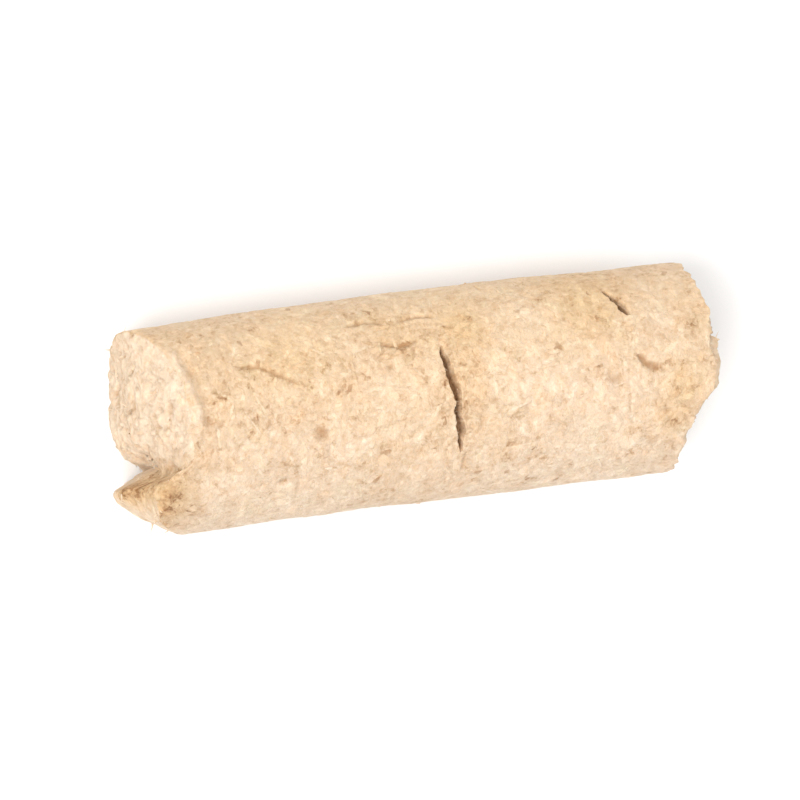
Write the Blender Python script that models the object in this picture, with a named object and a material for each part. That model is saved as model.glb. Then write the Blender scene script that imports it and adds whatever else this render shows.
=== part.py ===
"""One wood pellet: sawdust pressed through a round die and snapped off, lying on its side.

Metres, +Z up. The pellet lies along X. Its cleanly snapped end faces -X and its ragged end faces +X.
The origin is on the floor, under the middle of the pellet's length.

Shapes are written in millimetres in the pellet's own coordinates: x runs along the axis from the
snapped face, y is across, and h is the height above the axis.
"""

import math

import bmesh
import bpy
from mathutils import Vector, noise

MM = 0.001

# The pressed barrel.
DIAMETER = 6.0
RADIUS = DIAMETER / 2
LENGTH = 16.5
SIDES = 64
RINGS = 16
SWELL = 0.03
SWELL_WAVE = 7.0
BOW = 0.08

# The scuffed strip that it rests on.
STRIP_WIDTH = 1.3
STRIP_DEPTH = RADIUS - math.sqrt(RADIUS**2 - (STRIP_WIDTH / 2) ** 2)
AXIS_HEIGHT = RADIUS - STRIP_DEPTH

# The snapped end: a face that leans back at its top, a notch, and a lip beside the notch.
# Each band is where a shape fades in, from its first place to its second.
FACE_LEAN = 1.05
LEAN_HEIGHTS = (-0.4, RADIUS + 0.8)
LEAN_BAND = (-1.8, -0.2)
NOTCH_Y = -1.13
NOTCH_WIDTHS = (0.52, 0.13)
NOTCH_DEPTH = 0.8
NOTCH_SHARPNESS = 1.6
NOTCH_HEIGHTS = (-2.0, 2.6)
NOTCH_TOP_LOSS = 0.6
LIP_REACH = 0.75
LIP_Y = -1.55
LIP_ROOT_Y = -1.22
LIP_TIP = 0.14
LIP_HALF_HEIGHT = 1.5
LIP_SLOPE = 1.2
LIP_CURVE = 1.3

# The ragged end: square on its +Y half, broken away towards -Y.
BREAK_DEPTH = 0.95
BREAK_BAND = (0.2, 2.2)

# Both ends are rough, and their rims are crumbled.
SNAPPED_GRAIN = 5.0
RAGGED_GRAIN = 11.0
ROUGH_HEIGHT = 0.16
ROUGH_SIZE = 0.9
RIM_CRUMBLE = 0.16
RIM_BAND = 0.35

# The block that cuts an end: a grid of this many cells across its square face.
END_CELLS = 24
END_HALF = 3.4
END_REACH = 3.0

# Cracks across the barrel: (x and angle from the top, in degrees, at each tip), width, depth.
CRACKS = {
    "main_crack": {"start": (8.5, 26), "end": (8.8, -35), "bend": 0.12, "width": 0.25, "depth": 0.6},
    "side_crack": {"start": (13.72, 52), "end": (14.22, 32), "bend": 0.02, "width": 0.2, "depth": 0.45},
}
CRACK_STEPS = 8
CRACK_CLEAR = 0.25
CRACK_TIP = 0.1
CRACK_BOTTOM = 0.3

MIDDLE_X = (LENGTH - LIP_REACH) / 2


def clear_scene():
    for old in list(bpy.data.objects):
        bpy.data.objects.remove(old, do_unlink=True)


def collection(name):
    made = bpy.data.collections.new(name)
    bpy.context.scene.collection.children.link(made)
    return made


def wood(name, colour):
    """Bare pressed softwood: matt, with no finish on it."""
    material = bpy.data.materials.new(name)
    material.use_nodes = True
    shader = material.node_tree.nodes["Principled BSDF"]
    shader.inputs["Base Color"].default_value = (*colour, 1)
    shader.inputs["Roughness"].default_value = 0.7
    shader.inputs["Metallic"].default_value = 0
    return material


def placed(x, y, h):
    """The pellet's own millimetres as metres in the scene."""
    return Vector((x - MIDDLE_X, y, h + AXIS_HEIGHT)) * MM


def ramp(value, low, high):
    """0 at low and 1 at high, with a soft start and stop."""
    t = min(max((value - low) / (high - low), 0.0), 1.0)
    return t * t * (3 - 2 * t)


def roughness(y, h, end):
    """The broken fibres of an end, which differ from one end to the other."""
    return ROUGH_HEIGHT * noise.noise(Vector((y, h, end)) / ROUGH_SIZE)


def crumble(y, h):
    """How far an end's rim has worn back at this place."""
    return RIM_CRUMBLE * ramp(math.hypot(y, h), RADIUS - RIM_BAND, RADIUS)


def snapped_end(y, h):
    """The x of the snapped end's surface: its face, less the notch, with the lip beyond it."""
    lean = FACE_LEAN * ramp(h, *LEAN_HEIGHTS) * ramp(y, *LEAN_BAND)
    side = NOTCH_WIDTHS[0] if y > NOTCH_Y else NOTCH_WIDTHS[1]
    across = math.exp(-abs((y - NOTCH_Y) / side) ** NOTCH_SHARPNESS)
    notch = NOTCH_DEPTH * across * (1 - NOTCH_TOP_LOSS * ramp(h, *NOTCH_HEIGHTS))
    level = math.exp(-((h / LIP_HALF_HEIGHT) ** 2))
    lip = LIP_REACH * level * ramp(-y, -LIP_ROOT_Y, -LIP_Y)
    chip = LIP_SLOPE * max(LIP_Y - LIP_TIP - y, 0.0) ** LIP_CURVE
    kept = 1.0 if h < 0 else level
    worn = crumble(y, h) + roughness(y, h, SNAPPED_GRAIN)
    return lean + notch - lip + chip * kept + worn


def ragged_end(y, h):
    """The x of the ragged end's surface."""
    broken = BREAK_DEPTH * ramp(-y, *BREAK_BAND)
    return LENGTH - broken - crumble(y, h) + roughness(y, h, RAGGED_GRAIN)


def barrel():
    """The rod as it left the die: a long cylinder, barely swollen and bowed."""
    mesh = bmesh.new()
    overlong = LENGTH + 2 * END_REACH
    bmesh.ops.create_cone(
        mesh, cap_ends=True, segments=SIDES, radius1=RADIUS, radius2=RADIUS, depth=overlong
    )
    along = [e for e in mesh.edges if abs(e.verts[0].co.z - e.verts[1].co.z) > LENGTH]
    bmesh.ops.subdivide_edges(mesh, edges=along, cuts=RINGS, use_grid_fill=False)
    for vert in mesh.verts:
        x = vert.co.z + LENGTH / 2
        swollen = 1 + SWELL / RADIUS * noise.noise(Vector((x / SWELL_WAVE, 0, 0)))
        bowed = BOW * (math.cos(math.pi * (x / LENGTH - 0.5)) - 0.5)
        vert.co = placed(x, vert.co.y * swollen + bowed, -vert.co.x * swollen)
    return finished_mesh(mesh, "barrel")


def end_block(name, surface, outward):
    """A block whose inner side is the end's surface, to cut the barrel off there."""
    mesh = bmesh.new()
    bmesh.ops.create_grid(mesh, x_segments=END_CELLS, y_segments=END_CELLS, size=END_HALF)
    inner = bmesh.ops.extrude_face_region(mesh, geom=mesh.faces[:])
    inner_verts = {v for v in inner["geom"] if isinstance(v, bmesh.types.BMVert)}
    outer_x = -END_REACH if outward < 0 else LENGTH + END_REACH
    for vert in mesh.verts:
        y, h = vert.co.x, vert.co.y
        x = surface(y, h) if vert in inner_verts else outer_x
        vert.co = placed(x, y, h)
    return finished_mesh(mesh, name)


def crack_blade(name, start, end, bend, width, depth):
    """A thin lens that follows a crack around the barrel, narrower at its tips and its bottom."""
    mesh = bmesh.new()
    bmesh.ops.create_cube(mesh, size=1)
    lengthwise = [e for e in mesh.edges if abs(e.verts[0].co.y - e.verts[1].co.y) > 0.5]
    bmesh.ops.subdivide_edges(mesh, edges=lengthwise, cuts=CRACK_STEPS - 1, use_grid_fill=True)
    for vert in mesh.verts:
        t = vert.co.y + 0.5
        swell = CRACK_TIP + (1 - CRACK_TIP) * math.sin(math.pi * t)
        inside = vert.co.z < 0
        narrow = CRACK_BOTTOM if inside else 1.0
        x = start[0] + (end[0] - start[0]) * t + bend * math.sin(math.pi * t)
        x += vert.co.x * width * swell * narrow
        angle = math.radians(start[1] + (end[1] - start[1]) * t)
        r = RADIUS - depth * swell if inside else RADIUS + CRACK_CLEAR
        vert.co = placed(x, r * math.sin(angle), r * math.cos(angle))
    return finished_mesh(mesh, name)


def floor_block():
    """A box under the pellet, whose top is the floor that the scuffed strip lies on."""
    mesh = bmesh.new()
    bmesh.ops.create_cube(mesh, size=1)
    for vert in mesh.verts:
        x = LENGTH / 2 + vert.co.x * (LENGTH + 4 * END_REACH)
        y = vert.co.y * 2 * DIAMETER
        h = -AXIS_HEIGHT if vert.co.z > 0 else -AXIS_HEIGHT - RADIUS
        vert.co = placed(x, y, h)
    return finished_mesh(mesh, "floor_block")


def finished_mesh(mesh, name):
    """The bmesh as an object's mesh, with every face turned out."""
    bmesh.ops.recalc_face_normals(mesh, faces=mesh.faces)
    if mesh.calc_volume(signed=True) < 0:
        bmesh.ops.reverse_faces(mesh, faces=mesh.faces)
    data = bpy.data.meshes.new(name)
    mesh.to_mesh(data)
    mesh.free()
    return data


def add(data, name, into):
    made = bpy.data.objects.new(name, data)
    into.objects.link(made)
    return made


def cut(body, data, into):
    """Cuts the body with a hidden block of this mesh."""
    cutter = add(data, data.name, into)
    cutter.hide_render = True
    cutter.display_type = "WIRE"
    boolean = body.modifiers.new(data.name, "BOOLEAN")
    boolean.operation = "DIFFERENCE"
    boolean.solver = "EXACT"
    boolean.object = cutter


def pellet(parts, cutters):
    body = add(barrel(), "pellet", parts)
    body.data.materials.append(wood("pressed_wood", (0.78, 0.58, 0.38)))
    cut(body, end_block("snapped_end", snapped_end, -1), cutters)
    cut(body, end_block("ragged_end", ragged_end, 1), cutters)
    for name, shape in CRACKS.items():
        cut(body, crack_blade(name, **shape), cutters)
    cut(body, floor_block(), cutters)
    body.data.shade_smooth()
    body.data.set_sharp_from_angle(angle=math.radians(40))


clear_scene()
pellet(collection("wood_pellet"), collection("cutters"))
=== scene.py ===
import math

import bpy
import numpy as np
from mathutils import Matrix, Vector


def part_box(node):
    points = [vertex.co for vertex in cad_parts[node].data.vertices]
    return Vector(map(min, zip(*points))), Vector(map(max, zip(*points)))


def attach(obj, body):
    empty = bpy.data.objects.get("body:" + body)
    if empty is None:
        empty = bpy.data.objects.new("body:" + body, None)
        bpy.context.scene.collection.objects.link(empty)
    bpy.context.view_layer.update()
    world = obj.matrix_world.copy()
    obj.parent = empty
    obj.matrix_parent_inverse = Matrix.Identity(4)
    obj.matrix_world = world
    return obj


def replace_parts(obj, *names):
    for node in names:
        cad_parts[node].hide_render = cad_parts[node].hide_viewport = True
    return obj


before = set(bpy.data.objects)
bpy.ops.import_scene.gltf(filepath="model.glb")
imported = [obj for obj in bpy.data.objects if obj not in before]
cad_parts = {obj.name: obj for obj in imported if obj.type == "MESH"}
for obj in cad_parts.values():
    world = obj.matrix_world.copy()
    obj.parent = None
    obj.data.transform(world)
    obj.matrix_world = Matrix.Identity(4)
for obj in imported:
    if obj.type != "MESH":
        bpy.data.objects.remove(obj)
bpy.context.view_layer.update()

# One wood pellet, looked down on. The imported solid's length sets the camera's framing, and the solid is
# hidden. This
# script makes its surface: chips of pressed sawdust, cracks, pits, two broken ends and their torn fibres.
#
# Shapes are in millimetres in the pellet's own coordinates: x along the axis from the snapped face,
# y across, and h the height above the axis. Angles round the barrel start at its top and turn
# towards +Y.

LOW, HIGH = (np.array(corner) * 1000 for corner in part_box("pellet"))
MM = 0.001

# ---------------------------------------------------------------- the pellet's driving dimensions

RADIUS = 3.0
STRIP_WIDTH = 1.3
AXIS_HEIGHT = math.sqrt(RADIUS**2 - (STRIP_WIDTH / 2) ** 2)
LENGTH = 16.5
LIP_REACH = 0.75
MIDDLE_X = (LENGTH - LIP_REACH) / 2
SWELL = 0.035
BOW = 0.08

# The snapped end. Each band is where a shape fades in, from its first place to its second.
FACE_LEAN = 1.05
LEAN_HEIGHTS = (-0.4, RADIUS + 0.8)
LEAN_BAND = (-1.8, -0.2)
NOTCH_Y = -1.13
NOTCH_WIDTHS = (0.52, 0.13)
NOTCH_DEPTH = 0.8
NOTCH_SHARPNESS = 1.6
NOTCH_HEIGHTS = (-2.0, 2.6)
NOTCH_TOP_LOSS = 0.6
NOTCH_WANDER = 0.16
WANDER_HEIGHTS = (-2.4, -1.4)
LIP_Y = -1.55
LIP_ROOT_Y = -1.22
LIP_TIP = 0.14
LIP_HALF_HEIGHT = 1.5
LIP_SLOPE = 1.2
LIP_CURVE = 1.3

# The ragged end.
BREAK_DEPTH = 0.95
BREAK_BAND = (0.2, 2.2)

# The surface mesh.
AROUND = 360
CAP_CELLS = AROUND // 4
STATION_PITCH = 0.087
FINE_PITCH = 0.028
CROWDED_BAND = 0.35
RIM_BAND = 0.5
RIM_PITCH_SHARE = 0.45

# The maps that the chips of sawdust are laid on: a cell's size, and the places of a shape on its map.
PITCH = 0.025
ROUND = 2 * math.pi * RADIUS
MARGIN = 1.5
END_MIDDLE = RADIUS + 0.5


# ---------------------------------------------------------------- noise and small helpers


def ramp(value, low, high):
    """0 at low and 1 at high, with a soft start and stop."""
    t = np.clip((value - low) / (high - low), 0.0, 1.0)
    return t * t * (3 - 2 * t)


# Large odd numbers that scramble a lattice point's place into a random number.
SCATTER = (73856093, 19349663, 83492791, 2654435)
MIXERS = (np.uint64(1274126177), np.uint64(2246822519))
LOW_BITS = 0xFFFFFFFF
FRACTION = 0xFFFFFF


def lattice(ix, iy, iz, seed):
    """A fixed random number from -1 to 1 for each lattice point."""
    n = ix.astype(np.int64) * SCATTER[0] ^ iy.astype(np.int64) * SCATTER[1]
    n ^= iz.astype(np.int64) * SCATTER[2] ^ seed * SCATTER[3]
    n = ((n ^ (n >> 13)) & LOW_BITS).astype(np.uint64) * MIXERS[0] & np.uint64(LOW_BITS)
    n = (n ^ (n >> np.uint64(16))) * MIXERS[1] & np.uint64(LOW_BITS)
    return (n & np.uint64(FRACTION)) / (FRACTION // 2) - 1.0


def noise(x, y, z, seed):
    """Smooth value noise, from -1 to 1, with one bump for each unit of length."""
    x, y, z = np.broadcast_arrays(x, y, z)
    fx, fy, fz = np.floor(x), np.floor(y), np.floor(z)
    tx, ty, tz = x - fx, y - fy, z - fz
    tx, ty, tz = (t * t * (3 - 2 * t) for t in (tx, ty, tz))
    total = 0.0
    for cx in (0, 1):
        for cy in (0, 1):
            for cz in (0, 1):
                weight = (tx if cx else 1 - tx) * (ty if cy else 1 - ty) * (tz if cz else 1 - tz)
                total = total + weight * lattice(fx + cx, fy + cy, fz + cz, seed)
    return total


def rough(x, y, z, size, seed, octaves=3):
    """Noise at this size with finer noise on it, each octave half as big and half as high."""
    total, height = 0.0, 1.0
    for octave in range(octaves):
        total = total + height * noise(x / size, y / size, z / size, seed + octave)
        size, height = size / 2, height / 2
    return total


def placed(x, y, h):
    """The pellet's own millimetres as metres in the frame, never below the floor."""
    z = np.maximum(h + AXIS_HEIGHT, 0.0)
    return np.stack(np.broadcast_arrays(x - MIDDLE_X, y, z), axis=-1) * MM


def bow(x):
    return BOW * (np.cos(math.pi * (x / LENGTH - 0.5)) - 0.5)


# ---------------------------------------------------------------- chips of sawdust, laid on a map


def blurred(field, reach):
    """The field averaged over a square that reaches this many cells each way."""
    for axis in (0, 1):
        field = sum(np.roll(field, k, axis) for k in range(-reach, reach + 1)) / (2 * reach + 1)
    return field


LAYERS = ("height", "tone", "hue", "chip", "along_u", "along_v")


def blank_maps(size):
    """Empty layers for a map of size (u, v) millimetres."""
    shape = tuple(int(round(s / PITCH)) for s in size)
    maps = {name: np.zeros(shape) for name in LAYERS}
    maps["tone"] += 0.55
    maps["along_v"] += 1.0
    return maps


# How chips lie, and what their edges are like.
FRAY_CELLS = 512
LEANING_SHARE = 0.62
SIZE_SPREAD = 0.4
FRAY = 0.28
FRAYED_WIDTH = 0.3
SOFT_EDGE = 0.22
USUAL_TONE = 0.57
CHIP_NUMBERS = 40


def lay_chips(maps, count, length, slim, lean, relief, tilt, spread, cover, seed):
    """Lays chips at random on a map, which repeats in v.

    length is a chip's usual half-length, slim its width as a share of that, lean the angle that
    chips favour from u and how strongly, relief how far a chip's edges drop, tilt how far its ends
    lift, spread how much the tones differ, cover how fully a chip hides what is under it. Each
    layer holds what the topmost chip has: its height, tone, hue, number and grain.
    """
    rng = np.random.default_rng(seed)
    shape = maps["tone"].shape
    size = [cells * PITCH for cells in shape]
    cells = np.arange(FRAY_CELLS) * PITCH
    torn = rough(cells[:, None], cells[None, :], 0.5, size=0.22, seed=seed + 40, octaves=4)
    for _ in range(count):
        a = length * rng.lognormal(0, SIZE_SPREAD)
        b = a * rng.uniform(*slim)
        angle = rng.normal(*lean) if rng.random() < LEANING_SHARE else rng.uniform(0, math.pi)
        c, s = math.cos(angle), math.sin(angle)
        cu, cv = rng.uniform(0, size[0]), rng.uniform(0, size[1])
        reach = a * 1.35
        iu = np.arange(max(int((cu - reach) / PITCH), 0), min(int((cu + reach) / PITCH) + 1, shape[0]))
        iv = np.arange(int((cv - reach) / PITCH), int((cv + reach) / PITCH) + 1)
        du = (iu * PITCH - cu)[:, None]
        dv = (iv * PITCH - cv)[None, :]
        p = (du * c + dv * s) / a
        q = (dv * c - du * s) / b
        shift = rng.integers(0, FRAY_CELLS, 2)
        ragged = torn[np.ix_((iu + shift[0]) % FRAY_CELLS, (iv + shift[1]) % FRAY_CELLS)]
        pointed = q * (1 + 0.4 * p * p)
        r = (p**4 + pointed**4) ** 0.25 + FRAY * ragged * min(1.0, FRAYED_WIDTH / b)
        mask = np.clip((1 - r) / SOFT_EDGE, 0, 1)
        tone = np.clip(rng.normal(USUAL_TONE, spread), 0, 1)
        crown = rng.normal(0, 0.6) - 0.8 * r**2
        slope = rng.normal() * p + rng.normal() * q
        values = {
            "height": relief * crown + tilt * slope,
            "tone": tone,
            "hue": rng.normal(0, 1),
            "chip": rng.uniform(0, CHIP_NUMBERS),
            "along_u": c,
            "along_v": s,
        }
        cut = np.ix_(iu, iv % shape[1])
        for name, value in values.items():
            share = cover if name in ("height", "tone", "hue") else 1.0
            maps[name][cut] += (value - maps[name][cut]) * mask * share


def paint_crevice_shade(maps, depth):
    """Adds the layer of painted shade, which darkens where the surface dips below its surroundings by
    this much.
    """
    dip = blurred(maps["height"], 3) - maps["height"]
    maps["crevice_shade"] = blurred(np.clip(dip / depth - 0.15, 0, 1), 1)


def read_map(field, u, v):
    """The map's value at each place, between its cells; v repeats and u stops at the edges."""
    u = np.clip(u / PITCH, 0, field.shape[0] - 1.001)
    v = v / PITCH
    iu, iv = np.floor(u).astype(int), np.floor(v).astype(int)
    fu, fv = u - iu, v - iv
    iv0, iv1 = iv % field.shape[1], (iv + 1) % field.shape[1]
    low = field[iu, iv0] * (1 - fv) + field[iu, iv1] * fv
    high = field[iu + 1, iv0] * (1 - fv) + field[iu + 1, iv1] * fv
    return low * (1 - fu) + high * fu


def round_to(y):
    """The distance round the barrel, from its top, of a place this far across."""
    return RADIUS * math.asin(y / RADIUS)


def cells_between(low, high):
    """The numbers of a map's cells from one place to another."""
    return np.arange(int(low / PITCH), int(high / PITCH))


def sink(maps, iu, iv, inside, depth, dark):
    """Lowers these cells of a map and paints shade into them, each by how far inside a mark it is."""
    cut = np.ix_(iu % maps["height"].shape[0], iv % maps["height"].shape[1])
    maps["height"][cut] -= depth * inside
    maps["crevice_shade"][cut] = np.maximum(maps["crevice_shade"][cut], dark * inside)


# How far a thin crack strays to either side, and how long its bends are.
STRAY = 0.05
STRAY_SIZE = 0.16


def groove(maps, spots, width, depth, dark, seed):
    """Scores a thin crack along these points of a map."""
    spots = np.array(spots)
    low, high = spots.min(0) - 0.4, spots.max(0) + 0.4
    iu, iv = cells_between(low[0], high[0]), cells_between(low[1], high[1])
    u, v = (iu * PITCH)[:, None], (iv * PITCH)[None, :]
    u = u + STRAY * rough(u, v, 0.0, STRAY_SIZE, seed)
    v = v + STRAY * rough(u, v, 9.0, STRAY_SIZE, seed)
    nearest = np.full(u.shape, np.inf)
    share = np.zeros(u.shape)
    steps = len(spots) - 1
    for n in range(steps):
        start, run = spots[n], spots[n + 1] - spots[n]
        t = np.clip(((u - start[0]) * run[0] + (v - start[1]) * run[1]) / (run @ run), 0, 1)
        away = np.hypot(u - start[0] - t * run[0], v - start[1] - t * run[1])
        share = np.where(away < nearest, (n + t) / steps, share)
        nearest = np.minimum(away, nearest)
    half = width / 2 * np.sqrt(np.clip(4 * share * (1 - share), 0.05, 1))
    sink(maps, iu, iv, 1 - ramp(nearest, half * 0.5, half * 1.5), depth, dark)


def pit(maps, x, y, width, depth, dark, seed):
    """Sinks a small ragged hollow into the barrel's map."""
    centre_u, centre_v = x + MARGIN, round_to(y)
    iu = cells_between(centre_u - width, centre_u + width)
    iv = cells_between(centre_v - width, centre_v + width)
    u, v = (iu * PITCH)[:, None], (iv * PITCH)[None, :]
    ragged = 0.35 * rough(u, v, 0.0, width / 2, seed)
    away = np.hypot(u - centre_u, v - centre_v) / (width / 2) + ragged
    sink(maps, iu, iv, 1 - ramp(away, 0.35, 1.15), depth, dark)


# ---------------------------------------------------------------- the broken ends


def snapped_end(y, h):
    """The x of the snapped end: its face, less the notch, with the lip beyond it."""
    lean = FACE_LEAN * ramp(h, *LEAN_HEIGHTS) * ramp(y, *LEAN_BAND)
    kept = 1 - NOTCH_TOP_LOSS * ramp(h, *NOTCH_HEIGHTS)
    wander = NOTCH_WANDER * rough(h, 0.0, 0.0, size=1.1, seed=160) * ramp(h, *WANDER_HEIGHTS)
    from_notch = y - NOTCH_Y - wander
    width = np.where(from_notch > 0, *NOTCH_WIDTHS) * (1 + 0.3 * noise(h / 0.7, 0.0, 0.0, seed=164))
    share = np.exp(-np.abs(from_notch / width) ** NOTCH_SHARPNESS)
    notch = (NOTCH_DEPTH * kept + 0.12 * rough(y, h, 2.0, size=0.6, seed=165)) * share
    level = np.exp(-((h / LIP_HALF_HEIGHT) ** 2))
    lip = LIP_REACH * level * ramp(-y, -LIP_ROOT_Y, -LIP_Y)
    chip = LIP_SLOPE * np.maximum(LIP_Y - LIP_TIP - y, 0.0) ** LIP_CURVE
    return lean + notch - lip + chip * np.where(h < 0, 1.0, level)


def ragged_end(y, h):
    """The x of the ragged end: square at +Y, broken away towards -Y."""
    return LENGTH - BREAK_DEPTH * ramp(-y, *BREAK_BAND)


END_CREVICES = 16
CREVICE_POINTS = 5


def crevices(maps, seed, deepest):
    """Opens short curved gaps between the layers of a broken face, with painted shade in them."""
    rng = np.random.default_rng(seed)
    for number in range(END_CREVICES):
        r, turn = rng.uniform(0.3, 2.7), rng.uniform(0, 2 * math.pi)
        span = rng.uniform(0.3, 1.2) / r
        turns = turn + np.linspace(0, min(span, 1.6), CREVICE_POINTS)
        radii = r + np.cumsum(rng.normal(0, 0.09, CREVICE_POINTS))
        spots = END_MIDDLE + np.stack((radii * np.cos(turns), radii * np.sin(turns)), -1)
        width, depth = rng.uniform(0.07, 0.16), rng.uniform(0.3, 1) * deepest
        groove(maps, spots, width, depth, rng.uniform(0.3, 0.9), seed + number)


def end_maps(seed, relief, tilt):
    """A broken face's chips: large ones first, with crumbs of them on top."""
    maps = blank_maps((2 * END_MIDDLE, 2 * END_MIDDLE))
    lay_chips(maps, 260, 0.6, (0.15, 0.4), (0.9, 0.9), relief, tilt, 0.06, 1.0, seed)
    lay_chips(maps, 1100, 0.2, (0.2, 0.5), (0.9, 1.2), relief * 0.6, tilt * 0.6, 0.07, 0.8, seed + 1)
    paint_crevice_shade(maps, relief * 0.5)
    crevices(maps, seed + 2, 5 * relief)
    return maps


END_LOOKS = (
    # Its shape and which way it faces, how high its chips, crumbs and folds stand, and its colour.
    {
        "surface": snapped_end,
        "faces": -1,
        "relief": 0.045,
        "tilt": 0.05,
        "crumbs": 0.04,
        "folds": 0.1,
        "warm": 0.05,
        "pale": 0.1,
        "seed": 61,
    },
    {
        "surface": ragged_end,
        "faces": 1,
        "relief": 0.08,
        "tilt": 0.12,
        "crumbs": 0.07,
        "folds": 0.22,
        "warm": 0.3,
        "pale": 0.05,
        "seed": 87,
    },
)


def end_surface(look, maps, y, h):
    """The x of an end's surface with its chips, crumbs, folds and worn rim."""
    seed = look["seed"]
    inward = -look["faces"]
    rim = ramp(np.hypot(y, h), RADIUS - RIM_BAND, RADIUS)
    chips = read_map(maps["height"], y + END_MIDDLE, h + END_MIDDLE) * (1 - 0.85 * rim)
    crumbs = look["crumbs"] * rough(y, h, seed, size=0.3, seed=seed, octaves=4)
    across = y + 0.4 * noise(y, h, 7.0, seed=170)
    up = h + 0.4 * noise(y, h, 9.0, seed=171)
    creases = 0.6 - 2 * np.abs(noise(across / 1.9, up / 1.0, float(seed), seed + 4))
    waves = 0.08 * noise(y / 1.2, h / 1.2, float(seed), seed)
    folds = look["folds"] * creases * (1 - 0.65 * rim)
    nick = 0.5 + 0.5 * rough(y, h, 3.0, size=0.8, seed=seed + 9)
    worn = 0.3 * ramp(nick, 0.55, 1.3) * rim + 0.04 * rim**4
    return look["surface"](y, h) + inward * (worn - chips - crumbs - waves - folds)


# ---------------------------------------------------------------- cracks across the barrel

CRACKS = (
    {"start": (8.5, 26.0), "end": (8.8, -35.0), "bend": 0.12, "width": 0.27, "depth": 0.5, "seed": 5},
    {"start": (13.72, 52.0), "end": (14.22, 32.0), "bend": 0.02, "width": 0.25, "depth": 0.48, "seed": 6},
)


def crack_line(crack, angle):
    """How far along the crack each angle is, and the crack's x there, jagged by the chips."""
    (x0, a0), (x1, a1) = crack["start"], crack["end"]
    t = (np.degrees(angle) - a0) / (a1 - a0)
    along = np.clip(t, 0, 1)
    jag = 0.05 * rough(angle * RADIUS, 0.0, crack["seed"], size=0.3, seed=crack["seed"])
    return t, x0 + (x1 - x0) * along + crack["bend"] * np.sin(math.pi * along) + jag * (t == along)


def crack_depth(crack, x, angle):
    """How far the surface drops into a crack, and how much painted shade it gets there."""
    t, line = crack_line(crack, angle)
    open_share = np.sqrt(np.clip(4 * t * (1 - t), 0, 1))
    uneven = 1 + 0.35 * rough(angle * RADIUS, 4.0, 0.0, size=0.35, seed=crack["seed"] + 3, octaves=2)
    half = crack["width"] / 2 * open_share * uneven * (1.15 - 0.2 * t) + 1e-6
    inside = ramp(1 - np.abs(x - line) / half, 0.0, 0.45)
    inside = np.where((t > 0) & (t < 1), inside, 0.0)
    return crack["depth"] * (0.4 + 0.6 * open_share) * inside, inside


# Thin cracks, gouges and pits that show on the barrel, darkened with painted shade: points as (x, y
# across).
HAIRLINES = (
    # points, width, depth, how dark the painted shade is
    (((2.45, 1.56), (3.18, 1.42), (3.70, 1.11), (4.25, 0.76)), 0.12, 0.06, 0.95),
    (((6.85, 1.58), (7.35, 1.52), (7.95, 1.57)), 0.19, 0.09, 0.9),
    (((6.0, 2.25), (6.6, 2.3), (7.1, 2.2)), 0.16, 0.07, 0.7),
    (((7.6, 2.2), (8.1, 2.27), (8.65, 2.2)), 0.15, 0.06, 0.7),
    (((14.2, 0.44), (14.5, 0.12), (14.95, -0.06)), 0.2, 0.1, 0.95),
    (((13.1, -0.16), (13.45, -0.2), (13.75, -0.02)), 0.17, 0.06, 0.65),
    (((1.4, 0.14), (1.9, -0.1)), 0.24, 0.07, 0.55),
    (((8.93, -1.75), (8.9, -2.3)), 0.1, 0.05, 0.55),
    (((5.6, -0.85), (5.9, -0.95), (6.3, -0.9)), 0.09, 0.04, 0.45),
    (((10.6, 0.1), (10.63, -0.5)), 0.08, 0.04, 0.4),
    (((14.6, -1.15), (15.1, -1.3)), 0.16, 0.06, 0.5),
    (((11.1, 1.1), (11.35, 0.5)), 0.06, 0.03, 0.35),
    (((5.55, 2.1), (5.75, 1.75)), 0.07, 0.03, 0.35),
)
PITS = (
    # x, y across, width, depth, how dark the painted shade is
    (4.75, -0.7, 0.5, 0.08, 0.9),
    (6.98, 0.91, 0.26, 0.07, 0.8),
    (3.55, -1.92, 0.28, 0.06, 0.7),
    (10.4, -0.9, 0.18, 0.04, 0.4),
    (12.3, 1.7, 0.2, 0.05, 0.5),
    (13.3, -0.05, 0.3, 0.05, 0.5),
)
# Broad soft patches of colour: x, y across, reach, how much paler, how much warmer.
PATCHES = (
    # The lip, darker and warmer: partly the torn wood's own tint, partly painted shade and bounced light.
    (0.1, -1.8, 0.8, -0.32, 0.9),
    (9.0, 0.2, 0.9, -0.08, 0.2),
    (3.9, 1.3, 0.9, -0.05, 0.25),
    (13.2, 2.1, 1.1, -0.12, 0.5),
    (15.5, -0.5, 0.7, -0.12, 0.6),
    (15.1, -1.5, 0.5, -0.1, 0.45),
    (2.1, 0.3, 0.6, -0.1, 0.2),
    (9.3, 1.8, 0.55, -0.1, 0.6),
    (7.3, 1.9, 0.8, -0.12, 0.35),
    (4.6, 2.3, 0.7, 0.1, 0.1),
    (11.2, 1.9, 0.9, 0.1, -0.2),
    (14.9, 1.3, 0.7, 0.1, -0.2),
    (10.3, 0.1, 0.8, 0.07, -0.1),
    (12.6, -1.6, 1.6, 0.05, -0.2),
    (5.6, 1.6, 0.6, 0.1, 0.0),
)
LAYER_LINES = 70
# Die scratches, and the fine unevenness over all the chips.
SCRATCH_HEIGHT = 0.004
GRIT_HEIGHT = 0.006
# How deep a dip is that gets the full painted shade.
FULL_SHADE_DIP = 0.012
# Three layers of chips, each laid on the last: large chips, small ones, and a few dark or pale flecks.
# Each row is the chips' count, length, slimness, relief, tilt, spread of tones, and cover.
BARREL_LEAN = (math.pi / 2, 0.5)
BARREL_CHIPS = (
    (1500, 0.5, (0.25, 0.6), 0.012, 0.006, 0.065, 1.0),
    (9000, 0.19, (0.2, 0.6), 0.009, 0.004, 0.08, 0.7),
    (160, 0.1, (0.15, 0.4), 0.006, 0.0, 0.4, 0.6),
)


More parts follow.
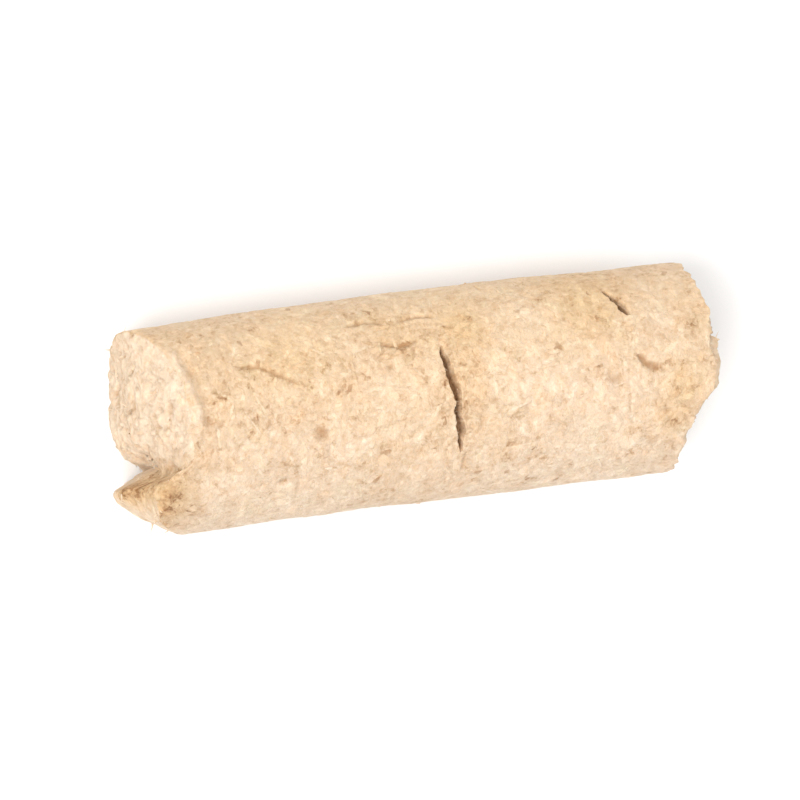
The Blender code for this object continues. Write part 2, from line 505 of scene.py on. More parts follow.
def barrel_maps():
    """The barrel's chips, die scratches and small cracks, unrolled: u along, v round."""
    maps = blank_maps((LENGTH + 2 * MARGIN, ROUND))
    for number, (count, length, slim, *finish) in enumerate(BARREL_CHIPS):
        lay_chips(maps, count, length, slim, BARREL_LEAN, *finish, 20 + number)
    paint_crevice_shade(maps, FULL_SHADE_DIP)
    for number, (points, width, depth, dark) in enumerate(HAIRLINES):
        spots = [(x + MARGIN, round_to(y)) for x, y in points]
        groove(maps, spots, width, depth, dark, 200 + number)
    for number, spot in enumerate(PITS):
        pit(maps, *spot, 300 + number)
    layer_lines(maps)
    u = np.arange(maps["height"].shape[0])[:, None] * PITCH
    v = np.arange(maps["height"].shape[1])[None, :] * PITCH
    streaks = noise(u / 2.6, v / 0.07, 0.0, seed=70)
    maps["height"] += SCRATCH_HEIGHT * streaks + GRIT_HEIGHT * rough(u, v, 1.0, size=0.2, seed=71)
    maps["tone"] += 0.03 * streaks
    for layer in ("height", "tone", "hue", "crevice_shade"):
        maps[layer] = blurred(maps[layer], 1)
    return maps


def layer_lines(maps):
    """Short shallow gaps between the layers that the die pressed together, all across the axis, with
    painted shade in them.
    """
    rng = np.random.default_rng(33)
    for number in range(LAYER_LINES):
        x = rng.uniform(0.8, LENGTH - 0.8)
        around = rng.uniform(-math.pi, math.pi)
        reach = rng.uniform(0.08, 0.34)
        lean = rng.normal(0, 0.12)
        width, depth = rng.uniform(0.045, 0.08), rng.uniform(0.012, 0.04)
        score_round(maps, x, around, reach, lean, width, depth, rng.uniform(0.15, 0.6), 400 + number)


def score_round(maps, x, around, reach, lean, width, depth, dark, seed):
    """Scores a line across the axis, which reaches this many radians either way from its middle."""
    centre = around * RADIUS
    half_run = reach * RADIUS
    iu = cells_between(x + MARGIN - 0.5, x + MARGIN + 0.5)
    iv = cells_between(centre - half_run, centre + half_run)
    u = (iu * PITCH)[:, None] - x - MARGIN
    v = (iv * PITCH)[None, :] - centre
    t = v / half_run
    line = lean * v + 0.09 * rough(v, seed, 0.0, size=0.5, seed=seed)
    half = width / 2 * np.sqrt(np.clip(1 - t * t, 0.02, 1))
    sink(maps, iu, iv, 1 - ramp(np.abs(u - line), half * 0.4, half * 1.6), depth, dark)


# ---------------------------------------------------------------- the pellet's surface mesh


def stations():
    """The x of each ring, crowded together where a crack crosses the barrel."""
    xs, x = [], 0.0
    while x < LENGTH:
        xs.append(x)
        near = min(abs(x - (c["start"][0] + c["end"][0]) / 2) - c["width"] for c in CRACKS)
        rim = min(x, LENGTH - x)
        pitch = FINE_PITCH + (STATION_PITCH - FINE_PITCH) * float(ramp(near, 0.0, CROWDED_BAND))
        x += pitch * (RIM_PITCH_SHARE + (1 - RIM_PITCH_SHARE) * float(ramp(rim, 0.0, RIM_BAND)))
    xs = np.array(xs)
    return xs * LENGTH / xs[-1]


BEND_REACH = 1.3


def follow_cracks(x, angle):
    """Bends the rings near each crack so that they run along it."""
    bent = x
    for crack in CRACKS:
        middle = (crack["start"][0] + crack["end"][0]) / 2
        line = crack_line(crack, angle)[1]
        bent = bent + (line - middle) * np.exp(-(((x - middle) / BEND_REACH) ** 2))
    return bent


def barrel_radius(maps, x, angle):
    """The barrel's radius at each place, with how much painted shade it gets and how torn it is."""
    y, h = np.sin(angle), np.cos(angle)
    lumps = 0.02 * rough(x, y * 3, h * 3, size=1.3, seed=95, octaves=2)
    wide = SWELL * noise(x / 5.0, y / 1.3, h / 1.3, seed=90) + lumps
    chips = read_map(maps["height"], x + MARGIN, angle * RADIUS)
    crevice_shade = read_map(maps["crevice_shade"], x + MARGIN, angle * RADIUS)
    r = RADIUS + wide + chips
    torn = np.zeros_like(r)
    for crack in CRACKS:
        drop, inside = crack_depth(crack, x, angle)
        r = r - drop
        # Painted shade inside the crack.
        crevice_shade = np.maximum(crevice_shade, inside)
        torn = np.maximum(torn, inside)
    return r, crevice_shade, torn


# The +Y side made warmer and darker: partly toasting by the die's heat, partly painted shade.
TOAST_AND_SIDE_SHADE = 0.58
TOAST_AND_SIDE_SHADE_BAND = (-2.4, 3.2)


def toasted_and_side_shaded(x, y):
    """How much the colour is warmed: more on the +Y side, partly die toasting and partly painted shade,
    and in a few patches.
    """
    warm = TOAST_AND_SIDE_SHADE * ramp(y, *TOAST_AND_SIDE_SHADE_BAND) + 0.14 * noise(x / 2.3, y / 1.4, 0.0, seed=140)
    pale = 0.06 * noise(x / 1.7, y / 1.2, 5.0, seed=141) + 0.05 * noise(x / 0.8, y / 0.5, 2.0, seed=142)
    for px, py, reach, paler, warmer in PATCHES:
        near = np.exp(-((x - px) ** 2 + (y - py) ** 2) / reach**2)
        warm = warm + warmer * near
        pale = pale + paler * near
    return warm, pale


# The rolled edge on top of the snapped rim: across where, then how far behind the rim its crest and the
# groove behind it are, with their half-widths and heights.
BURR_BANDS = ((-0.7, 0.1), (-2.5, -1.9))
BURR = {"behind": 0.14, "half": 0.12, "height": 0.05}
HOLLOW = {"behind": 0.42, "half": 0.13, "height": -0.06}


def rim_burr(x, x_low, y):
    """How much of the rolled edge, and of the shallow groove behind it, each place has."""
    band = ramp(y, *BURR_BANDS[0]) * ramp(-y, *BURR_BANDS[1])
    behind = x - x_low + 0.05 * noise(y / 0.5, 0.0, 0.0, seed=150)
    return [np.exp(-(((behind - part["behind"]) / part["half"]) ** 2)) * band for part in (BURR, HOLLOW)]


def rim_nicks(x, x_low, x_high, angle):
    """Small crumbs lost from the barrel's side next to either rim."""
    y, h = RADIUS * np.sin(angle), RADIUS * np.cos(angle)
    near = np.minimum(x - x_low, x_high - x)
    nick = ramp(rough(x * 0.6, y, h, size=0.6, seed=130, octaves=4), 0.3, 1.2)
    depth, reach = 0.015 + 0.26 * nick, 0.06 + 0.45 * nick
    return depth * (1 - ramp(near, 0.0, reach))


def concentric_square():
    """A square grid of points mapped on the unit disc, with its edge points evenly spaced round."""
    steps = np.linspace(-1, 1, CAP_CELLS + 1)
    a, b = np.meshgrid(steps, steps, indexing="ij")
    wide = np.abs(a) > np.abs(b)
    safe_a, safe_b = np.where(a == 0, 1, a), np.where(b == 0, 1, b)
    r = np.where(wide, a, b)
    turn = np.where(wide, math.pi / 4 * b / safe_a, math.pi / 2 - math.pi / 4 * a / safe_b)
    return r * np.cos(turn), r * np.sin(turn)


def grid_quads(index):
    """The four corners of each cell of a grid of vertex numbers."""
    return np.stack((index[:-1, :-1], index[1:, :-1], index[1:, 1:], index[:-1, 1:]), -1).reshape(-1, 4)


SHARP_ANGLE = math.radians(62)


class Surface:
    """Vertices with their looks, gathered one patch after another."""

    def __init__(self):
        self.places, self.looks, self.quads, self.count = [], [], [], 0

    def add(self, place, looks):
        """Adds a patch of vertices and returns their numbers in the patch's own shape."""
        shape = place.shape[:-1]
        total = int(np.prod(shape))
        self.places.append(place.reshape(total, 3))
        flat = {}
        for name, value in looks.items():
            full = np.broadcast_to(value, shape + value.shape[len(shape):])
            flat[name] = full.reshape(total, -1)
        self.looks.append(flat)
        numbers = np.arange(self.count, self.count + total).reshape(shape)
        self.count += total
        return numbers

    def made(self, name, material):
        """The closed mesh object, with its looks as attributes of its points."""
        data = bpy.data.meshes.new(name)
        quads = np.concatenate(self.quads)
        data.from_pydata(np.concatenate(self.places).tolist(), [], quads.tolist())
        for look in self.looks[0]:
            values = np.concatenate([patch[look] for patch in self.looks])
            kind = "FLOAT_VECTOR" if values.shape[1] == 3 else "FLOAT"
            layer = data.attributes.new(look, kind, "POINT")
            layer.data.foreach_set("vector" if kind == "FLOAT_VECTOR" else "value", values.ravel())
        data.shade_smooth()
        data.set_sharp_from_angle(angle=SHARP_ANGLE)
        data.materials.append(material)
        piece = bpy.data.objects.new(name, data)
        bpy.context.scene.collection.objects.link(piece)
        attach(piece, "root")
        return piece


def chip_looks(maps, u, v, crevice_shade, torn, warm, pale, axis_u, axis_v):
    """What the shader reads: each chip's tone, hue and number, and which way its grain runs."""
    c, s = read_map(maps["along_u"], u, v)[..., None], read_map(maps["along_v"], u, v)[..., None]
    return {
        "tone": (read_map(maps["tone"], u, v) + pale)[..., None],
        "warm": (warm + 0 * crevice_shade)[..., None],
        "hue": read_map(maps["hue"], u, v)[..., None],
        "chip": read_map(maps["chip"], u, v)[..., None],
        "crevice_shade": crevice_shade[..., None],
        "torn": torn[..., None],
        "along": c * axis_u + s * axis_v,
        "across": c * axis_v - s * axis_u,
    }


# How far along the barrel the rings still follow each end's shape.
SNAPPED_REACH = 4.0
RAGGED_REACH = 6.0


def pellet_surface(maps, ends, material):
    """The whole pellet as one closed mesh: the barrel's rings, with a disc of cells at each end."""
    surface = Surface()

    angle = (np.arange(AROUND) * 2 * math.pi / AROUND)[None, :]
    angle = np.where(angle > math.pi, angle - 2 * math.pi, angle)
    flat_x = stations()[:, None]
    rim_y, rim_h = RADIUS * np.sin(angle), RADIUS * np.cos(angle)
    x_low = end_surface(*ends[0], rim_y, rim_h)
    x_high = end_surface(*ends[1], rim_y, rim_h)
    x = follow_cracks(flat_x, angle)
    x = x + x_low * (1 - ramp(flat_x, 0, SNAPPED_REACH))
    x = x + (x_high - LENGTH) * np.clip((flat_x - LENGTH + RAGGED_REACH) / RAGGED_REACH, 0, 1)
    r, crevice_shade, torn = barrel_radius(maps, x, angle)
    nicks = rim_nicks(x, x_low, x_high, angle)
    burr, hollow = rim_burr(x, x_low, rim_y)
    r = r - nicks + BURR["height"] * burr + HOLLOW["height"] * hollow
    # Painted shade in the shallow groove behind the rim.
    crevice_shade = np.maximum(crevice_shade, 0.34 * hollow)
    torn = np.maximum(torn, ramp(nicks, 0.03, 0.12))
    y, h = r * np.sin(angle), r * np.cos(angle)
    axis_round = np.stack(np.broadcast_arrays(0 * x, np.cos(angle), -np.sin(angle)), -1)
    warm, pale = toasted_and_side_shaded(x, y)
    # A painted highlight along the rolled edge's crest: paler and less warm.
    pale = pale + 0.14 * burr
    warm = warm * (1 - 0.8 * burr)
    axis_along = np.array((1.0, 0, 0))
    looks = chip_looks(maps, x + MARGIN, angle * RADIUS, crevice_shade, torn, warm, pale, axis_along, axis_round)
    rings = surface.add(placed(x, y + bow(x), h), looks)
    surface.quads.append(grid_quads(np.concatenate((rings, rings[:, :1]), 1)))

    for (look, chips), ring, rim_r in zip(ends, (rings[0], rings[-1]), (r[0], r[-1])):
        add_end(surface, look, chips, ring, rim_r)
    return surface.made("pellet_surface", material)


# The lip's reddish, darker colour, partly the torn wood's own tint and partly painted shade and bounced
# light: how far it spreads, where it fades in, and its colour.
LIP_TINT_AND_SHADE_REACH = 0.5
LIP_TINT_AND_SHADE_HEIGHTS = (-0.9, 0.6)
LIP_TINT_AND_SHADE_WARM = 0.95
LIP_TINT_AND_SHADE_PALE = -0.46
END_CREVICE_SHADE_SHARE = 0.7


def add_end(surface, look, chips, ring, rim_r):
    """Closes one end of the barrel with its broken face."""
    disc_h, disc_y = concentric_square()
    part = np.hypot(disc_h, disc_y)
    turn = np.arctan2(disc_y, disc_h)
    step = np.round(turn * AROUND / (2 * math.pi)).astype(int) % AROUND
    r = part * (RADIUS + (rim_r[step] - RADIUS) * part**6)
    y, h = r * np.sin(turn), r * np.cos(turn)
    x = end_surface(look, chips, y, h)
    inner = (slice(1, -1), slice(1, -1))
    u, v = y[inner] + END_MIDDLE, h[inner] + END_MIDDLE
    # Painted shade in the face's dips and crevices.
    crevice_shade = read_map(chips["crevice_shade"], u, v) * END_CREVICE_SHADE_SHARE
    # The lip's darker reddish colour: partly the torn wood's own tint, partly painted shade and bounced
    # light.
    lip_tint_and_shade = np.exp(-(((y[inner] - LIP_Y) / LIP_TINT_AND_SHADE_REACH) ** 2)) * ramp(h[inner], *LIP_TINT_AND_SHADE_HEIGHTS)
    lip_tint_and_shade = lip_tint_and_shade * (look["faces"] < 0)
    warm, pale = look["warm"] + LIP_TINT_AND_SHADE_WARM * lip_tint_and_shade, look["pale"] + LIP_TINT_AND_SHADE_PALE * lip_tint_and_shade
    axes = np.array((0, 1.0, 0)), np.array((0, 0, 1.0))
    looks = chip_looks(chips, u, v, crevice_shade, np.ones_like(u), warm, pale, *axes)
    numbers = ring[step].copy()
    numbers[inner] = surface.add(placed(x[inner], y[inner] + bow(x[inner]), h[inner]), looks)
    quads = grid_quads(numbers)
    surface.quads.append(quads if look["faces"] < 0 else quads[:, ::-1])


# ---------------------------------------------------------------- torn fibres and lifted chips


def plain_looks(shape, rng, along, across, warm):
    """The looks of a small piece that has one tone all over."""
    values = {
        "tone": rng.normal(0.58, 0.06),
        "warm": warm,
        "hue": rng.normal(),
        "chip": rng.uniform(0, CHIP_NUMBERS),
    }
    looks = {name: np.full((*shape, 1), value) for name, value in values.items()}
    looks["crevice_shade"] = np.zeros((*shape, 1))
    looks["torn"] = np.ones((*shape, 1))
    looks["along"] = np.broadcast_to(along, (*shape, 3))
    looks["across"] = np.broadcast_to(across, (*shape, 3))
    return looks


def barrel_frame(angle):
    """The directions out of the barrel and round it, at this angle."""
    out = np.array((0, math.sin(angle), math.cos(angle)))
    return out, np.array((0, math.cos(angle), -math.sin(angle)))


# A fibre has four sides, so that one face closes each of its ends.
FIBRE_RINGS = 6
FIBRE_SIDES = 4
FIBRE_WARMTH = 0.15
FIBRE_TAPER = 0.85
FIBRE_FLATNESS = 0.6
FIBRE_CURL = 0.5
BURIED_SHARE = 0.2


def add_fibre(surface, rng, root, direction, length, thick):
    """A tapering, slightly curled fibre that starts inside the pellet."""
    direction = direction / np.linalg.norm(direction)
    side = np.cross(direction, rng.normal(size=3))
    side /= np.linalg.norm(side)
    other = np.cross(side, direction)
    curl = rng.normal(0, FIBRE_CURL) * length
    t = np.linspace(0, 1, FIBRE_RINGS)[:, None, None]
    turn = (np.arange(FIBRE_SIDES) * 2 * math.pi / FIBRE_SIDES)[None, :, None]
    taper = thick * (1 - FIBRE_TAPER * t**1.5)
    spine = root + direction * length * (t - BURIED_SHARE) + side * curl * t * t
    rings = spine + taper * (np.cos(turn) * side + FIBRE_FLATNESS * np.sin(turn) * other)
    looks = plain_looks(rings.shape[:2], rng, direction, side, FIBRE_WARMTH)
    numbers = surface.add(placed(rings[..., 0], rings[..., 1], rings[..., 2]), looks)
    surface.quads.append(grid_quads(np.concatenate((numbers, numbers[:, :1]), 1)))
    surface.quads.append(numbers[:1])
    surface.quads.append(numbers[-1:, ::-1])


# How many fibres each end and each crack has, with their lengths, thicknesses and depths.
END_FIBRES = 70
END_LENGTHS = (0.12, 0.36)
END_THICKNESSES = (0.018, 0.045)
CRACK_FIBRES = 10
CRACK_LENGTHS = (0.12, 0.3)
CRACK_THICKNESSES = (0.012, 0.024)
CRACK_DEPTHS = (0.03, 0.25)
RIM_INSET = 0.1
ROOT_DEPTH = 0.03


def torn_fibres(ends, material):
    """Fibres that stand out of the broken rims and faces, and bridge the cracks."""
    rng = np.random.default_rng(71)
    surface = Surface()
    for look, chips in ends:
        for _ in range(END_FIBRES):
            angle = rng.uniform(-math.pi, math.pi)
            r = (RADIUS - RIM_INSET) * (1 - 0.9 * rng.random() ** 3)
            y, h = r * math.sin(angle), r * math.cos(angle)
            x = float(end_surface(look, chips, y, h)) - ROOT_DEPTH * look["faces"]
            root = np.array((x, y + float(bow(x)), h))
            direction = rng.normal(0, 0.8, 3) + np.array((0.35 * look["faces"], 0, 0))
            length = rng.uniform(*END_LENGTHS)
            add_fibre(surface, rng, root, direction, length, rng.uniform(*END_THICKNESSES))
    for crack in CRACKS:
        for _ in range(CRACK_FIBRES):
            angle = math.radians(rng.uniform(*sorted((crack["start"][1], crack["end"][1]))))
            line = float(crack_line(crack, np.array(angle))[1])
            out, around = barrel_frame(angle)
            side = rng.choice((-1, 1))
            edge = np.array((line + side * crack["width"] / 2, float(bow(line)), 0))
            root = out * (RADIUS - rng.uniform(*CRACK_DEPTHS)) + edge
            direction = np.array((-side, 0, 0)) + around * rng.normal(0, 0.9) + out * rng.normal(0, 0.3)
            length = rng.uniform(*CRACK_LENGTHS)
            add_fibre(surface, rng, root, direction, length, rng.uniform(*CRACK_THICKNESSES))
    return surface.made("torn_fibres", material)


LIFTED_CHIPS = 110
CHIP_STEPS = (13, 5)
CHIP_PLACES = (0.9, LENGTH - 2.2)
CHIP_TURN = 2.6
CHIP_LENGTH = 0.2
CHIP_WIDTHS = (0.02, 0.05)
CHIP_LIFT = 0.04
CHIP_STANDS = (0.003, 0.01)
CHIP_ROOT = 0.05


def lifted_chips(maps, material):
    """Thin slivers on the barrel that stand a hair proud of it, each with one end lifted a little."""
    rng = np.random.default_rng(72)
    surface = Surface()
    for _ in range(LIFTED_CHIPS):
        centre_x, centre_angle = rng.uniform(*CHIP_PLACES), rng.uniform(-CHIP_TURN, CHIP_TURN)
        a = CHIP_LENGTH * rng.lognormal(0, SIZE_SPREAD)
        b = rng.uniform(*CHIP_WIDTHS)
        turn = rng.normal(math.pi / 2, 0.7)
        p, q = np.meshgrid(*(np.linspace(-1, 1, n) for n in CHIP_STEPS), indexing="ij")
        taper = np.sqrt(np.clip(1.04 - np.abs(p) ** rng.uniform(3, 8), 0, 1))
        taper = taper * (1 + 0.2 * rng.normal(size=(CHIP_STEPS[0], 1)))
        along = p * a
        across = q * b * taper
        x = centre_x + along * math.cos(turn) - across * math.sin(turn)
        angle = centre_angle + (along * math.sin(turn) + across * math.cos(turn)) / RADIUS
        ground = barrel_radius(maps, x, angle)[0]
        lift = rng.uniform(0.0, CHIP_LIFT) * ramp(p, 0.0, 1.2) + rng.uniform(*CHIP_STANDS)
        shell = []
        for r in (ground + lift, ground - CHIP_ROOT):
            shell.append(placed(x, r * np.sin(angle) + bow(x), r * np.cos(angle)))
        out, around = barrel_frame(centre_angle)
        grain = np.array((math.cos(turn), 0, 0)) + around * math.sin(turn)
        warm = float(toasted_and_side_shaded(centre_x, RADIUS * math.sin(centre_angle))[0])
        looks = plain_looks(p.shape, rng, grain, np.cross(out, grain), warm)
        looks["torn"] = looks["torn"] * 0.1
        top = surface.add(shell[0], looks)
        bottom = surface.add(shell[1], looks)
        surface.quads.append(grid_quads(top))
        surface.quads.append(grid_quads(bottom)[:, ::-1])
        loop_top, loop_bottom = outline(top), outline(bottom)
        walls = np.stack((loop_top, loop_bottom, np.roll(loop_bottom, -1), np.roll(loop_top, -1)), -1)
        surface.quads.append(walls)
    return surface.made("lifted_chips", material)


def outline(index):
    """The vertex numbers round the edge of a grid, in the order that its faces turn."""
    return np.concatenate((index[:-1, 0], index[-1, :-1], index[:0:-1, -1], index[0, :0:-1]))


# ---------------------------------------------------------------- the material


def node(tree, kind, **settings):
    made = tree.nodes.new(kind)
    for key, value in settings.items():
        setattr(made, key, value)
    return made


def link(tree, start, end):
    tree.links.new(start, end)


def maths(tree, operation, a, b=0.0, c=0.0, clamp=False):
    """One Math node; a, b and c are sockets or numbers."""
    made = node(tree, "ShaderNodeMath", operation=operation, use_clamp=clamp)
    for socket, value in zip(made.inputs, (a, b, c)):
        if isinstance(value, (int, float)):
            socket.default_value = value
        else:
            link(tree, value, socket)
    return made.outputs[0]


def times(tree, a, b, clamp=False):
    return maths(tree, "MULTIPLY", a, b, clamp=clamp)


def centred(tree, value):
    """A value from 0 to 1, less a half."""
    return maths(tree, "SUBTRACT", value, 0.5)


def plus(tree, total, value, share, clamp=False):
    """The total with this share of the value added."""
    return maths(tree, "MULTIPLY_ADD", value, share, total, clamp=clamp)


def blend(tree, share, low, high, kind="MIX"):
    """Mixes two colours, given as sockets or as plain colours."""
    made = node(tree, "ShaderNodeMix", data_type="RGBA", blend_type=kind)
    sockets = (made.inputs[0], made.inputs[6], made.inputs[7])
    for socket, value in zip(sockets, (share, low, high)):
        if isinstance(value, (int, float)):
            socket.default_value = value
        elif isinstance(value, tuple):
            socket.default_value = (*value, 1)
        else:
            link(tree, value, socket)
    return made.outputs[2]


def ramped(tree, value, *stops):
    """A colour ramp with these (place, colour) stops."""
    made = node(tree, "ShaderNodeValToRGB")
    link(tree, value, made.inputs[0])
    elements = made.color_ramp.elements
    while len(elements) < len(stops):
        elements.new(0.5)
    for element, (place, colour) in zip(elements, stops):
        element.position = place
        element.color = (*colour, 1) if isinstance(colour, tuple) else (colour, colour, colour, 1)
    return made.outputs[0]


def attribute(tree, name, output):
    return node(tree, "ShaderNodeAttribute", attribute_name=name).outputs[output]


def dotted(tree, vector, other):
    made = node(tree, "ShaderNodeVectorMath", operation="DOT_PRODUCT")
    link(tree, vector, made.inputs[0])
    link(tree, other, made.inputs[1])
    return made.outputs["Value"]


def grain_noise(tree, scale_along, scale_across, detail, millimetres):
    """Noise drawn out along each chip's own fibres."""
    joined = node(tree, "ShaderNodeCombineXYZ")
    along = dotted(tree, millimetres, attribute(tree, "along", "Vector"))
    across = dotted(tree, millimetres, attribute(tree, "across", "Vector"))
    link(tree, times(tree, along, scale_along), joined.inputs[0])
    link(tree, times(tree, across, scale_across), joined.inputs[1])
    link(tree, attribute(tree, "chip", "Fac"), joined.inputs[2])
    made = node(tree, "ShaderNodeTexNoise")
    made.inputs["Scale"].default_value = 1.0
    made.inputs["Detail"].default_value = detail
    made.inputs["Roughness"].default_value = 0.6
    link(tree, joined.outputs[0], made.inputs["Vector"])
    return made.outputs[0]


def plain_noise(tree, scale, detail, millimetres):
    made = node(tree, "ShaderNodeTexNoise")
    made.inputs["Scale"].default_value = scale
    made.inputs["Detail"].default_value = detail
    made.inputs["Roughness"].default_value = 0.6
    link(tree, millimetres, made.inputs["Vector"])
    return made.outputs[0]


def vector_maths(tree, operation, a, b):
    made = node(tree, "ShaderNodeVectorMath", operation=operation)
    for socket, value in zip(made.inputs, (a, b)):
        if isinstance(value, tuple):
            socket.default_value = value
        else:
            link(tree, value, socket)
    return made.outputs[0]


# How sharply a flake's edge ends, how ragged it is, how far flakes turn, and their sizes.
FLAKE_EDGE = 3.0
FLAKE_FRAY = 2.4
FLAKE_TURN = 2.6
FLAKE_SIZES = (0.5, 1.6)


def flakes(tree, per_mm, long, slim, ragged, millimetres):
    """Crisp slivers, one to a cell: how far inside its sliver a point is, and its random number."""
    cells = node(tree, "ShaderNodeTexVoronoi", feature="F1")
    cells.inputs["Scale"].default_value = per_mm
    link(tree, millimetres, cells.inputs["Vector"])
    split = node(tree, "ShaderNodeSeparateColor")
    link(tree, cells.outputs["Color"], split.inputs[0])
    offset = vector_maths(tree, "SUBTRACT", millimetres, cells.outputs["Position"])
    along = dotted(tree, offset, attribute(tree, "along", "Vector"))
    across = dotted(tree, offset, attribute(tree, "across", "Vector"))
    turn = times(tree, centred(tree, split.outputs[0]), FLAKE_TURN)
    cosine, sine = maths(tree, "COSINE", turn), maths(tree, "SINE", turn)
    p = maths(tree, "ADD", times(tree, along, cosine), times(tree, across, sine))
    q = maths(tree, "SUBTRACT", times(tree, across, cosine), times(tree, along, sine))
    p = maths(tree, "POWER", maths(tree, "ABSOLUTE", maths(tree, "DIVIDE", p, long)), 3.0)
    q = maths(tree, "POWER", maths(tree, "ABSOLUTE", maths(tree, "DIVIDE", q, slim)), 2.0)
    r = plus(tree, maths(tree, "ADD", p, q), ragged, FLAKE_FRAY)
    size = plus(tree, FLAKE_SIZES[0], split.outputs[1], FLAKE_SIZES[1])
    inside = times(tree, maths(tree, "SUBTRACT", size, r), FLAKE_EDGE, clamp=True)
    return inside, split.outputs[2]


def toned(tree, shade, flake, contrast):
    """The shade with each flake's own lighter or darker tone laid on it."""
    inside, random = flake
    change = times(tree, centred(tree, random), contrast)
    return plus(tree, shade, change, inside)


def tinted(tree, share, colour, tint):
    """The colour with this share of a tint multiplied in."""
    return blend(tree, share, colour, blend(tree, 1.0, colour, tint, "MULTIPLY"))


# From the darkest sawdust to the palest, by shade.
SAWDUST_TONES = (
    (0.0, (0.25, 0.135, 0.065)),
    (0.22, (0.46, 0.31, 0.19)),
    (0.45, (0.58, 0.43, 0.295)),
    (0.7, (0.645, 0.5, 0.365)),
    (1.0, (0.71, 0.585, 0.45)),
)
WARM_TINT = (0.98, 0.8, 0.6)
COOL_TINT = (0.92, 0.97, 0.78)
TOAST_AND_SHADE_TINT = (0.985, 0.9, 0.72)
BARK = (0.3, 0.15, 0.065)
BARK_SHARE = 0.016
# The dark brown of the painted shade in dips, cracks and crevices.
CREVICE_SHADE = (0.3, 0.14, 0.045)

# Three sizes of flake: to a millimetre, half-length, half-width, contrast of tone, and height.
SLIVERS_PER_MM = 3.1
FLAKES = (
    (1.5, 0.4, 0.12, 0.3, 0.35),
    (SLIVERS_PER_MM, 0.2, 0.05, 0.4, 0.35),
    (6.5, 0.09, 0.04, 0.35, 0.3),
)
BUMP_HEIGHT = 0.00003


def bark_flecks(tree, slivers, fibres, millimetres):
    """Where a few of the slivers are bark: never cut off at their cell's edge, and streaked."""
    inside, random = slivers
    edges = node(tree, "ShaderNodeTexVoronoi", feature="DISTANCE_TO_EDGE")
    edges.inputs["Scale"].default_value = SLIVERS_PER_MM
    link(tree, millimetres, edges.inputs["Vector"])
    from_edge = maths(tree, "SUBTRACT", edges.outputs["Distance"], 0.03)
    whole = times(tree, from_edge, 7.0, clamp=True)
    chosen = maths(tree, "LESS_THAN", random, BARK_SHARE)
    streaked = maths(tree, "SUBTRACT", plus(tree, 0.5, fibres, 1.6), 0.85, clamp=True)
    bark = times(tree, times(tree, inside, chosen), whole)
    return times(tree, bark, streaked)


def pressed_sawdust():
    """Pale softwood sawdust: chips of differing tone and grain, painted shade in the gaps, specks of
    bark.
    """
    material = bpy.data.materials.new("pressed_sawdust")
    material.use_nodes = True
    tree = material.node_tree
    shader = tree.nodes["Principled BSDF"]
    coordinates = node(tree, "ShaderNodeTexCoord")
    scaled = node(tree, "ShaderNodeVectorMath", operation="SCALE")
    scaled.inputs["Scale"].default_value = 1000
    link(tree, coordinates.outputs["Object"], scaled.inputs[0])
    millimetres = scaled.outputs[0]

    hue = attribute(tree, "hue", "Fac")
    torn = attribute(tree, "torn", "Fac")
    fibres = grain_noise(tree, 1.6, 17.0, 4.0, millimetres)
    fine_fibres = grain_noise(tree, 5.0, 46.0, 2.0, millimetres)
    cloud = plain_noise(tree, 0.7, 3.0, millimetres)
    dust = plain_noise(tree, 13.0, 4.0, millimetres)
    frayed = centred(tree, dust)
    laid = [flakes(tree, *size, frayed, millimetres) for *size, _, _ in FLAKES]

    shade = attribute(tree, "tone", "Fac")
    for value, share in ((fibres, 0.6), (fine_fibres, 0.3), (dust, 0.45)):
        shade = plus(tree, shade, centred(tree, value), share)
    for flake, (*_, contrast, _) in zip(laid, FLAKES):
        shade = toned(tree, shade, flake, contrast)
    shade = plus(tree, shade, centred(tree, cloud), 0.2)
    shade = plus(tree, shade, torn, 0.08, clamp=True)
    colour = ramped(tree, shade, *SAWDUST_TONES)

    warm = times(tree, maths(tree, "ADD", hue, 0.2, clamp=True), 0.2)
    cool = times(tree, maths(tree, "SUBTRACT", -0.3, hue, clamp=True), 0.16)
    # The warm layer: the wood's own toasting and patches, with painted shade on the +Y side and on the
    # lip.
    toast_and_shade = maths(tree, "ADD", attribute(tree, "warm", "Fac"), 0.0, clamp=True)
    for share, tint in ((warm, WARM_TINT), (cool, COOL_TINT), (toast_and_shade, TOAST_AND_SHADE_TINT)):
        colour = tinted(tree, share, colour, tint)
    colour = blend(tree, bark_flecks(tree, laid[1], fibres, millimetres), colour, BARK)
    # Painted shade in dips, cracks, pits and crevices: the colour drawn towards a dark brown.
    crevice_shade = maths(tree, "POWER", attribute(tree, "crevice_shade", "Fac"), 1.4)
    colour = blend(tree, times(tree, crevice_shade, 0.72, clamp=True), colour, CREVICE_SHADE)
    link(tree, colour, shader.inputs["Base Color"])

    gloss = plus(tree, 0.5, dust, 0.22)
    link(tree, plus(tree, gloss, torn, 0.25, clamp=True), shader.inputs["Roughness"])
    shader.inputs["Specular IOR Level"].default_value = 0.35
    shader.inputs["Subsurface Weight"].default_value = 0.12
    shader.inputs["Subsurface Radius"].default_value = (1.0, 0.6, 0.35)
    shader.inputs["Subsurface Scale"].default_value = 0.0004

    relief = times(tree, fibres, 0.7)
    for value, share in ((fine_fibres, 0.4), (dust, 0.6)):
        relief = plus(tree, relief, value, share)
    for (inside, _), (*_, height) in zip(laid, FLAKES):
        relief = plus(tree, relief, inside, height)
    bump = node(tree, "ShaderNodeBump")
    bump.inputs["Strength"].default_value = 0.7
    bump.inputs["Distance"].default_value = BUMP_HEIGHT
    link(tree, relief, bump.inputs["Height"])
    link(tree, bump.outputs[0], shader.inputs["Normal"])
    return material


# ---------------------------------------------------------------- floor, light and camera


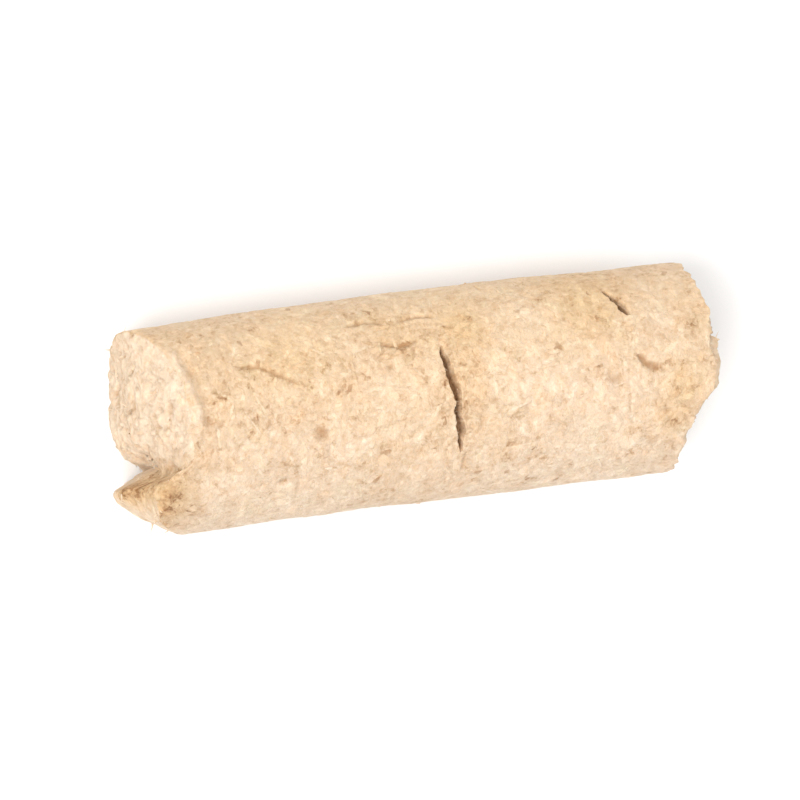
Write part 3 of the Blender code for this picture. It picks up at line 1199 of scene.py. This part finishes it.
def floor():
    bpy.ops.mesh.primitive_plane_add(size=2.0, location=(0, 0, 0))
    plane = bpy.context.object
    plane.name = "floor"
    material = bpy.data.materials.new("floor_white")
    material.use_nodes = True
    shader = material.node_tree.nodes["Principled BSDF"]
    shader.inputs["Base Color"].default_value = (0.8, 0.8, 0.8, 1)
    shader.inputs["Roughness"].default_value = 0.9
    shader.inputs["Specular IOR Level"].default_value = 0.1
    plane.data.materials.append(material)


def aimed(thing, place, target, up):
    """Puts a camera or light at a place, looking at the target, with its top towards up."""
    back = (Vector(place) - Vector(target)).normalized()
    right = Vector(up).cross(back).normalized()
    top = back.cross(right)
    turn = Matrix((right, top, back)).transposed().to_4x4()
    thing.matrix_world = Matrix.Translation(place) @ turn


def area_light(name, place, size, power, colour):
    data = bpy.data.lights.new(name, "AREA")
    data.shape = "DISK"
    data.size = size
    data.energy = power
    data.color = colour
    light = bpy.data.objects.new(name, data)
    bpy.context.scene.collection.objects.link(light)
    aimed(light, place, (0, 0, 0.003), (0, 1, 0.01))


def lights():
    world = bpy.data.worlds.new("soft_room")
    world.use_nodes = True
    background = world.node_tree.nodes["Background"]
    background.inputs["Color"].default_value = (0.985, 0.99, 1.0, 1)
    background.inputs["Strength"].default_value = 1.0
    bpy.context.scene.world = world
    area_light("key", (-0.22, -0.07, 0.41), 0.24, 1.95, (1.0, 0.985, 0.965))
    area_light("fill", (0.05, 0.26, 0.42), 0.4, 0.5, (1.0, 0.95, 0.88))


VIEW_TILT = math.radians(15)
VIEW_ROLL = math.radians(7.2)
FRAME_SHARE = 0.76
LENS = 600


def camera():
    """Looks down on the pellet, a little from its snapped end, with the pellet rising to the right."""
    data = bpy.data.cameras.new("camera")
    data.lens = LENS
    data.clip_start = 0.001
    view = bpy.data.objects.new("camera", data)
    bpy.context.scene.collection.objects.link(view)
    span = (HIGH[0] - LOW[0]) * MM / FRAME_SHARE
    distance = span * LENS / data.sensor_width
    target = Vector((0, 0, AXIS_HEIGHT * MM))
    back = Vector((-math.sin(VIEW_TILT), 0, math.cos(VIEW_TILT)))
    level = Vector((math.cos(VIEW_TILT), 0, math.sin(VIEW_TILT)))
    up = level * math.sin(VIEW_ROLL) + Vector((0, 1, 0)) * math.cos(VIEW_ROLL)
    aimed(view, target + back * distance, target, up)
    bpy.context.scene.camera = view


# ---------------------------------------------------------------- everything together

SAWDUST = pressed_sawdust()
BARREL = barrel_maps()
ENDS = [(look, end_maps(look["seed"], look["relief"], look["tilt"])) for look in END_LOOKS]
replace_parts(pellet_surface(BARREL, ENDS, SAWDUST), "pellet")
torn_fibres(ENDS, SAWDUST)
lifted_chips(BARREL, SAWDUST)
floor()
lights()
camera()
bpy.context.scene.view_settings.view_transform = "Standard"
